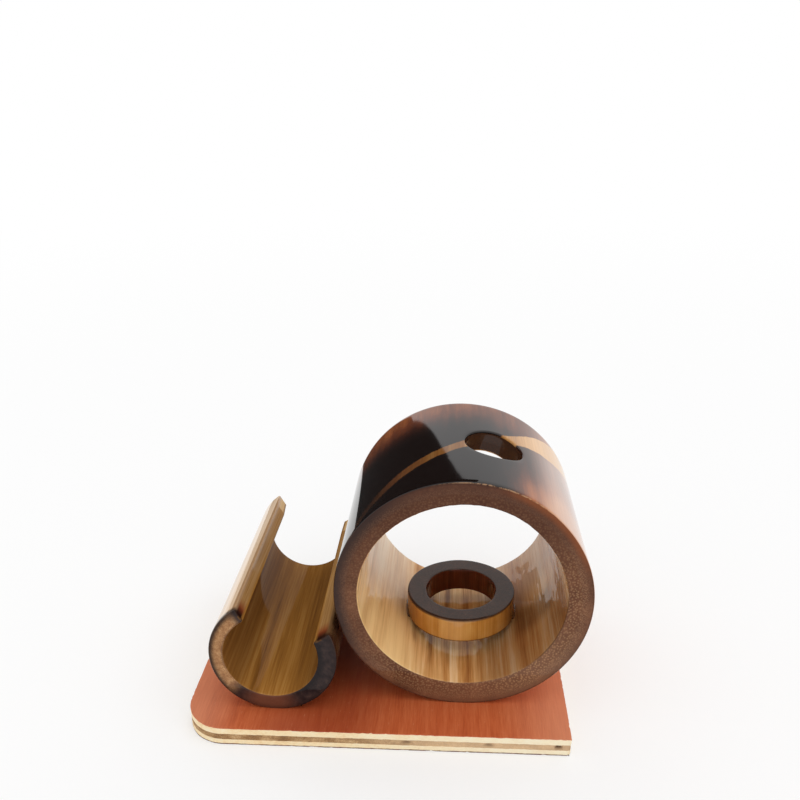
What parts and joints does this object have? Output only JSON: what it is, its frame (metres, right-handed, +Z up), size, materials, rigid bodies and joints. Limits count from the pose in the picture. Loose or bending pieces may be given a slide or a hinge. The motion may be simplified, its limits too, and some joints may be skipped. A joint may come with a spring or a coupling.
{
  "type": "pen and phone holder",
  "caption": "Bamboo pen and phone holder: a culm ring with a pen hole and an inner pen cup, beside a culm trough sawn open for a phone, on a plywood base.",
  "frame": {"origin": "centre of the plywood base's underside", "axes": "+X along the front edge towards the pen ring, +Y from the open front to the back, +Z up"},
  "size_m": [0.106, 0.076, 0.0711],
  "materials": {
    "face_veneer": "reddish brown veneer, satin varnish",
    "pale_ply": "raw cream ply, sawn edge",
    "core_ply": "raw brown cross-grain ply, sawn edge",
    "back_veneer": "thin reddish veneer, unvarnished",
    "ring_bamboo": "scorched bamboo skin with a natural stripe, gloss varnish",
    "trough_bamboo": "natural bamboo, scorched at its ends, gloss varnish",
    "cup_bamboo": "orange-brown bamboo with scorched rims, gloss varnish",
    "glue": "clear amber glue"
  },
  "bodies": {
    "root": {"base_face_veneer": "face_veneer", "base_upper_ply": "pale_ply", "base_core_ply": "core_ply", "base_lower_ply": "pale_ply", "base_back_veneer": "back_veneer", "pen_ring": "ring_bamboo", "phone_trough": "trough_bamboo", "pen_cup": "cup_bamboo", "ring_glue": "glue", "trough_glue": "glue", "cup_glue": "glue"}
  },
  "joints": []
}
